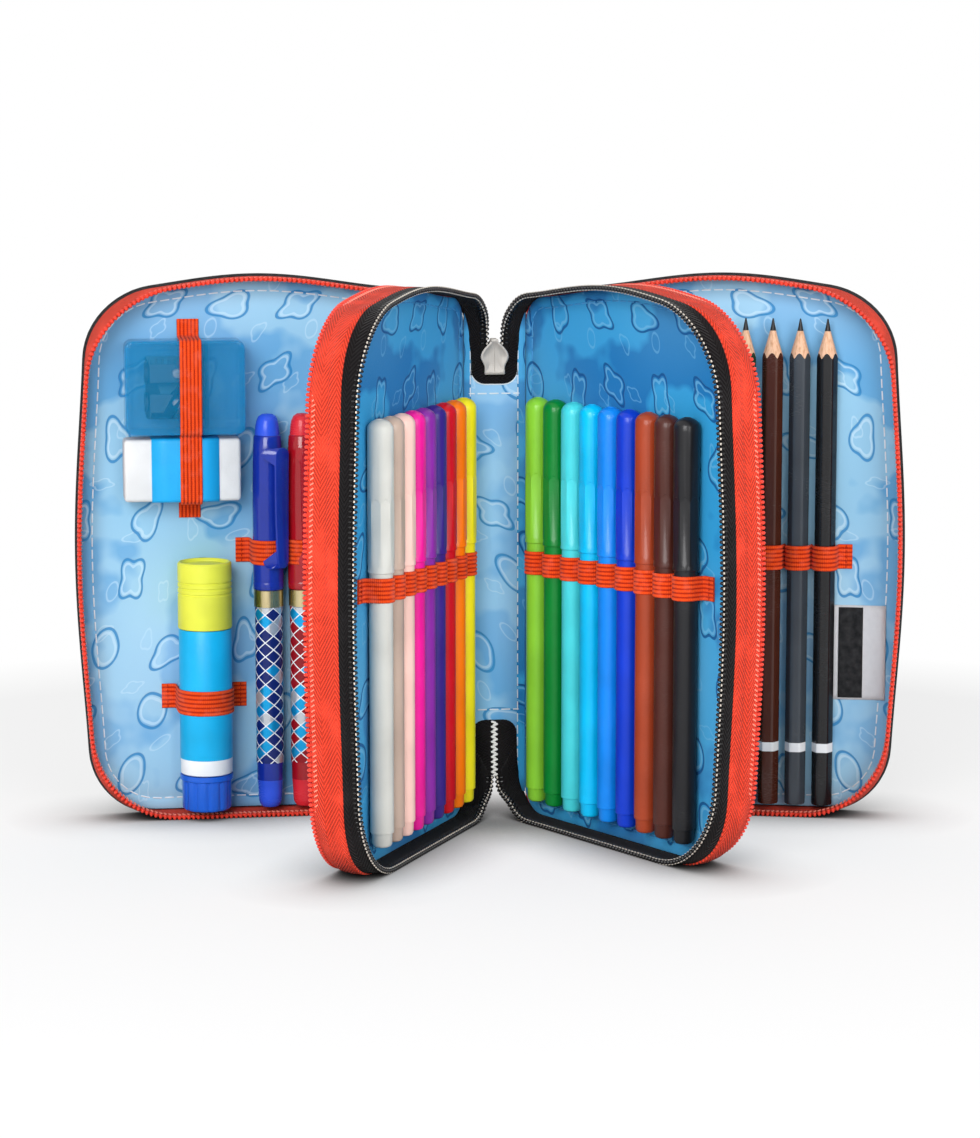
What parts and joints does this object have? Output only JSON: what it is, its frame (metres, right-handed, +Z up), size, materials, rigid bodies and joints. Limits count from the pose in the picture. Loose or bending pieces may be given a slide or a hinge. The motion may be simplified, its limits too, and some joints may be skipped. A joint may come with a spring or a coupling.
{
  "type": "filled pencil case",
  "caption": "Zipped fabric pencil case with several compartments, standing fanned open, with felt-tips, pencils, clip pens, glue stick, sharpener and eraser held in elastic loops.",
  "frame": {"origin": "middle of the footprint, on the surface that the case stands on", "axes": "+X to the right and +Y away from a viewer in front of the open middle compartment, +Z up along the spine"},
  "size_m": [0.3054, 0.1492, 0.2],
  "materials": {
    "cover_fabric": "black woven polyester over a padded board",
    "lining": "smooth printed polyester lining in sky blue with soft clouds",
    "red_tape": "woven red zip tape with a red coil",
    "black_tape": "woven black zip tape with a dark glossy coil",
    "elastic": "ribbed orange-red elastic",
    "zinc": "cast zinc with a satin plating",
    "clear_blue": "clear blue moulded plastic",
    "sharpener_metal": "die-cast metal with steel blades",
    "eraser_white": "soft white vinyl with a cyan card sleeve",
    "glue_yellow": "moulded yellow plastic, satin",
    "glue_cyan": "cyan printed plastic tube with white rings",
    "glue_blue": "blue moulded plastic, fluted",
    "pen_blue": "clear deep blue plastic with a printed barrel",
    "pen_red": "clear deep red plastic with a printed barrel",
    "felt_yellow": "glossy yellow polypropylene",
    "felt_orange": "glossy orange polypropylene",
    "felt_red": "glossy red polypropylene",
    "felt_indigo": "glossy indigo polypropylene",
    "felt_purple": "glossy purple polypropylene",
    "felt_magenta": "glossy magenta polypropylene",
    "felt_pink": "glossy pink polypropylene",
    "felt_taupe": "glossy taupe polypropylene",
    "felt_grey": "glossy grey polypropylene",
    "felt_light_green": "glossy light green polypropylene",
    "felt_green": "glossy green polypropylene",
    "felt_turquoise": "glossy turquoise polypropylene",
    "felt_sky": "glossy sky polypropylene",
    "felt_blue": "glossy blue polypropylene",
    "felt_dark_blue": "glossy dark blue polypropylene",
    "felt_brown": "glossy brown polypropylene",
    "felt_dark_brown": "glossy dark brown polypropylene",
    "felt_black": "glossy black polypropylene",
    "pencil_green": "green lacquered wood with a bare sharpened cone",
    "pencil_brown": "brown lacquered wood with a bare sharpened cone",
    "pencil_grey": "grey lacquered wood with a bare sharpened cone",
    "pencil_black": "black lacquered wood with a bare sharpened cone"
  },
  "bodies": {
    "spine": {"middle_spine_strip": "lining", "middle_zip_head_end": "black_tape", "middle_zip_foot_end": "black_tape"},
    "left_divider": {"left_divider": "lining", "middle_zip_left_half": "black_tape", "left_zip_divider_half": "red_tape", "felt_elastic_left": "elastic"},
    "right_divider": {"right_divider": "lining", "middle_zip_right_half": "black_tape", "right_zip_divider_half": "red_tape", "felt_elastic_right": "elastic"},
    "left_strip": {"left_spine_strip": "cover_fabric"},
    "left_cover": {"left_cover": "cover_fabric", "left_zip_cover_half": "red_tape", "pen_elastic": "elastic", "glue_elastic": "elastic", "sharpener_strap": "elastic"},
    "right_strip": {"right_spine_strip": "cover_fabric"},
    "right_cover": {"right_cover": "cover_fabric", "right_zip_cover_half": "red_tape", "pencil_elastic": "elastic"},
    "middle_slider": {"middle_zip_slider": "zinc"},
    "middle_pull": {"middle_zip_pull": "zinc"},
    "left_slider": {"left_zip_slider": "zinc"},
    "left_pull": {"left_zip_pull": "zinc"},
    "right_slider": {"right_zip_slider": "zinc"},
    "right_pull": {"right_zip_pull": "zinc"},
    "felt_tip_yellow": {"felt_tip_yellow": "felt_yellow"},
    "felt_tip_orange": {"felt_tip_orange": "felt_orange"},
    "felt_tip_red": {"felt_tip_red": "felt_red"},
    "felt_tip_indigo": {"felt_tip_indigo": "felt_indigo"},
    "felt_tip_purple": {"felt_tip_purple": "felt_purple"},
    "felt_tip_magenta": {"felt_tip_magenta": "felt_magenta"},
    "felt_tip_pink": {"felt_tip_pink": "felt_pink"},
    "felt_tip_taupe": {"felt_tip_taupe": "felt_taupe"},
    "felt_tip_grey": {"felt_tip_grey": "felt_grey"},
    "felt_tip_light_green": {"felt_tip_light_green": "felt_light_green"},
    "felt_tip_green": {"felt_tip_green": "felt_green"},
    "felt_tip_turquoise": {"felt_tip_turquoise": "felt_turquoise"},
    "felt_tip_sky": {"felt_tip_sky": "felt_sky"},
    "felt_tip_blue": {"felt_tip_blue": "felt_blue"},
    "felt_tip_dark_blue": {"felt_tip_dark_blue": "felt_dark_blue"},
    "felt_tip_brown": {"felt_tip_brown": "felt_brown"},
    "felt_tip_dark_brown": {"felt_tip_dark_brown": "felt_dark_brown"},
    "felt_tip_black": {"felt_tip_black": "felt_black"},
    "pencil_green": {"pencil_green": "pencil_green"},
    "pencil_brown": {"pencil_brown": "pencil_brown"},
    "pencil_grey": {"pencil_grey": "pencil_grey"},
    "pencil_black": {"pencil_black": "pencil_black"},
    "red_pen_barrel": {"red_pen_barrel": "pen_red"},
    "red_pen_cap": {"red_pen_cap": "pen_red"},
    "blue_pen_barrel": {"blue_pen_barrel": "pen_blue"},
    "blue_pen_cap": {"blue_pen_cap": "pen_blue"},
    "glue_barrel": {"glue_barrel": "glue_cyan"},
    "glue_cap": {"glue_cap": "glue_yellow"},
    "glue_knob": {"glue_knob": "glue_blue"},
    "sharpener_box": {"sharpener_box": "clear_blue", "sharpener_box_lid": "clear_blue", "sharpener_block": "sharpener_metal"},
    "eraser": {"eraser": "eraser_white"}
  },
  "joints": [
    {"name": "middle_left_hinge", "type": "hinge", "parent": "spine", "child": "left_divider", "pos_m": [-0.00923, 0.0498, 0], "axis": [0, 0, 1], "range_deg": [-52, 28]},
    {"name": "middle_right_hinge", "type": "hinge", "parent": "spine", "child": "right_divider", "pos_m": [0.01179, 0.05253, 0], "axis": [0, 0, 1], "range_deg": [-28, 52]},
    {"name": "left_strip_hinge", "type": "hinge", "parent": "left_divider", "child": "left_strip", "pos_m": [-0.01101, 0.05047, 0], "axis": [0, 0, -1], "range_deg": [-30.5, 57]},
    {"name": "left_cover_hinge", "type": "hinge", "parent": "left_strip", "child": "left_cover", "pos_m": [-0.0247, 0.06743, 0], "axis": [0, 0, -1], "range_deg": [-30.5, 57]},
    {"name": "right_strip_hinge", "type": "hinge", "parent": "right_divider", "child": "right_strip", "pos_m": [0.01334, 0.05363, 0], "axis": [0, 0, 1], "range_deg": [-23, 64.5]},
    {"name": "right_cover_hinge", "type": "hinge", "parent": "right_strip", "child": "right_cover", "pos_m": [0.02476, 0.0722, 0], "axis": [0, 0, 1], "range_deg": [-23, 64.5]},
    {"name": "middle_zip_slide", "type": "slide", "parent": "spine", "child": "middle_slider", "axis": [0, 0, 1], "range_m": [-0.004, 0]},
    {"name": "middle_pull_hinge", "type": "hinge", "parent": "middle_slider", "child": "middle_pull", "pos_m": [0.00079, 0.05493, 0.16815], "axis": [0.9917, 0.1288, 0], "range_deg": [0, 165]},
    {"name": "left_zip_slide", "type": "slide", "parent": "left_strip", "child": "left_slider", "axis": [0, 0, 1], "range_m": [-0.004, 0]},
    {"name": "left_pull_hinge", "type": "hinge", "parent": "left_slider", "child": "left_pull", "pos_m": [-0.0149, 0.06134, 0.16815], "axis": [0.628, -0.7782, 0], "range_deg": [0, 150]},
    {"name": "right_zip_slide", "type": "slide", "parent": "right_strip", "child": "right_slider", "axis": [0, 0, 1], "range_m": [-0.004, 0]},
    {"name": "right_pull_hinge", "type": "hinge", "parent": "right_slider", "child": "right_pull", "pos_m": [0.01581, 0.06491, 0.16815], "axis": [0.524, 0.8517, 0], "range_deg": [0, 150]},
    {"name": "felt_tip_yellow_slide", "type": "slide", "parent": "left_divider", "child": "felt_tip_yellow", "axis": [0, 0, 1], "range_m": [-0.0012, 0.03]},
    {"name": "felt_tip_orange_slide", "type": "slide", "parent": "left_divider", "child": "felt_tip_orange", "axis": [0, 0, 1], "range_m": [-0.0012, 0.03]},
    {"name": "felt_tip_red_slide", "type": "slide", "parent": "left_divider", "child": "felt_tip_red", "axis": [0, 0, 1], "range_m": [-0.0012, 0.03]},
    {"name": "felt_tip_indigo_slide", "type": "slide", "parent": "left_divider", "child": "felt_tip_indigo", "axis": [0, 0, 1], "range_m": [-0.0012, 0.03]},
    {"name": "felt_tip_purple_slide", "type": "slide", "parent": "left_divider", "child": "felt_tip_purple", "axis": [0, 0, 1], "range_m": [-0.0012, 0.03]},
    {"name": "felt_tip_magenta_slide", "type": "slide", "parent": "left_divider", "child": "felt_tip_magenta", "axis": [0, 0, 1], "range_m": [-0.0012, 0.03]},
    {"name": "felt_tip_pink_slide", "type": "slide", "parent": "left_divider", "child": "felt_tip_pink", "axis": [0, 0, 1], "range_m": [-0.0012, 0.03]},
    {"name": "felt_tip_taupe_slide", "type": "slide", "parent": "left_divider", "child": "felt_tip_taupe", "axis": [0, 0, 1], "range_m": [-0.0012, 0.03]},
    {"name": "felt_tip_grey_slide", "type": "slide", "parent": "left_divider", "child": "felt_tip_grey", "axis": [0, 0, 1], "range_m": [-0.0012, 0.03]},
    {"name": "felt_tip_light_green_slide", "type": "slide", "parent": "right_divider", "child": "felt_tip_light_green", "axis": [0, 0, 1], "range_m": [-0.0012, 0.03]},
    {"name": "felt_tip_green_slide", "type": "slide", "parent": "right_divider", "child": "felt_tip_green", "axis": [0, 0, 1], "range_m": [-0.0012, 0.03]},
    {"name": "felt_tip_turquoise_slide", "type": "slide", "parent": "right_divider", "child": "felt_tip_turquoise", "axis": [0, 0, 1], "range_m": [-0.0012, 0.03]},
    {"name": "felt_tip_sky_slide", "type": "slide", "parent": "right_divider", "child": "felt_tip_sky", "axis": [0, 0, 1], "range_m": [-0.0012, 0.03]},
    {"name": "felt_tip_blue_slide", "type": "slide", "parent": "right_divider", "child": "felt_tip_blue", "axis": [0, 0, 1], "range_m": [-0.0012, 0.03]},
    {"name": "felt_tip_dark_blue_slide", "type": "slide", "parent": "right_divider", "child": "felt_tip_dark_blue", "axis": [0, 0, 1], "range_m": [-0.0012, 0.03]},
    {"name": "felt_tip_brown_slide", "type": "slide", "parent": "right_divider", "child": "felt_tip_brown", "axis": [0, 0, 1], "range_m": [-0.0012, 0.03]},
    {"name": "felt_tip_dark_brown_slide", "type": "slide", "parent": "right_divider", "child": "felt_tip_dark_brown", "axis": [0, 0, 1], "range_m": [-0.0012, 0.03]},
    {"name": "felt_tip_black_slide", "type": "slide", "parent": "right_divider", "child": "felt_tip_black", "axis": [0, 0, 1], "range_m": [-0.0012, 0.03]},
    {"name": "pencil_green_slide", "type": "slide", "parent": "right_cover", "child": "pencil_green", "axis": [0, 0, 1], "range_m": [-0.0008, 0.007]},
    {"name": "pencil_brown_slide", "type": "slide", "parent": "right_cover", "child": "pencil_brown", "axis": [0, 0, 1], "range_m": [-0.0008, 0.007]},
    {"name": "pencil_grey_slide", "type": "slide", "parent": "right_cover", "child": "pencil_grey", "axis": [0, 0, 1], "range_m": [-0.0008, 0.007]},
    {"name": "pencil_black_slide", "type": "slide", "parent": "right_cover", "child": "pencil_black", "axis": [0, 0, 1], "range_m": [-0.0008, 0.007]},
    {"name": "red_pen_slide", "type": "slide", "parent": "left_cover", "child": "red_pen_barrel", "axis": [0, 0, 1], "range_m": [0, 0.02]},
    {"name": "red_pen_cap_slide", "type": "slide", "parent": "red_pen_barrel", "child": "red_pen_cap", "axis": [0, 0, 1], "range_m": [0, 0.02]},
    {"name": "blue_pen_slide", "type": "slide", "parent": "left_cover", "child": "blue_pen_barrel", "axis": [0, 0, 1], "range_m": [0, 0.02]},
    {"name": "blue_pen_cap_slide", "type": "slide", "parent": "blue_pen_barrel", "child": "blue_pen_cap", "axis": [0, 0, 1], "range_m": [0, 0.02]},
    {"name": "glue_slide", "type": "slide", "parent": "left_cover", "child": "glue_barrel", "axis": [0, 0, 1], "range_m": [0, 0.005]},
    {"name": "glue_cap_slide", "type": "slide", "parent": "glue_barrel", "child": "glue_cap", "axis": [0, 0, 1], "range_m": [0, 0.01]},
    {"name": "glue_knob_turn", "type": "hinge", "parent": "glue_barrel", "child": "glue_knob", "pos_m": [-0.10502, 0.04521, 0.0036], "axis": [0, 0, 1], "continuous": true},
    {"name": "sharpener_slide", "type": "slide", "parent": "left_cover", "child": "sharpener_box", "axis": [-0.9893, -0.1461, 0], "range_m": [0, 0.007]},
    {"name": "eraser_slide", "type": "slide", "parent": "left_cover", "child": "eraser", "axis": [-0.9893, -0.1461, 0], "range_m": [0, 0.01]}
  ],
  "couplings": [
    {"joint": "middle_right_hinge", "follows": "middle_left_hinge", "ratio": -1},
    {"joint": "left_strip_hinge", "follows": "left_cover_hinge", "ratio": 1},
    {"joint": "right_strip_hinge", "follows": "right_cover_hinge", "ratio": 1}
  ]
}
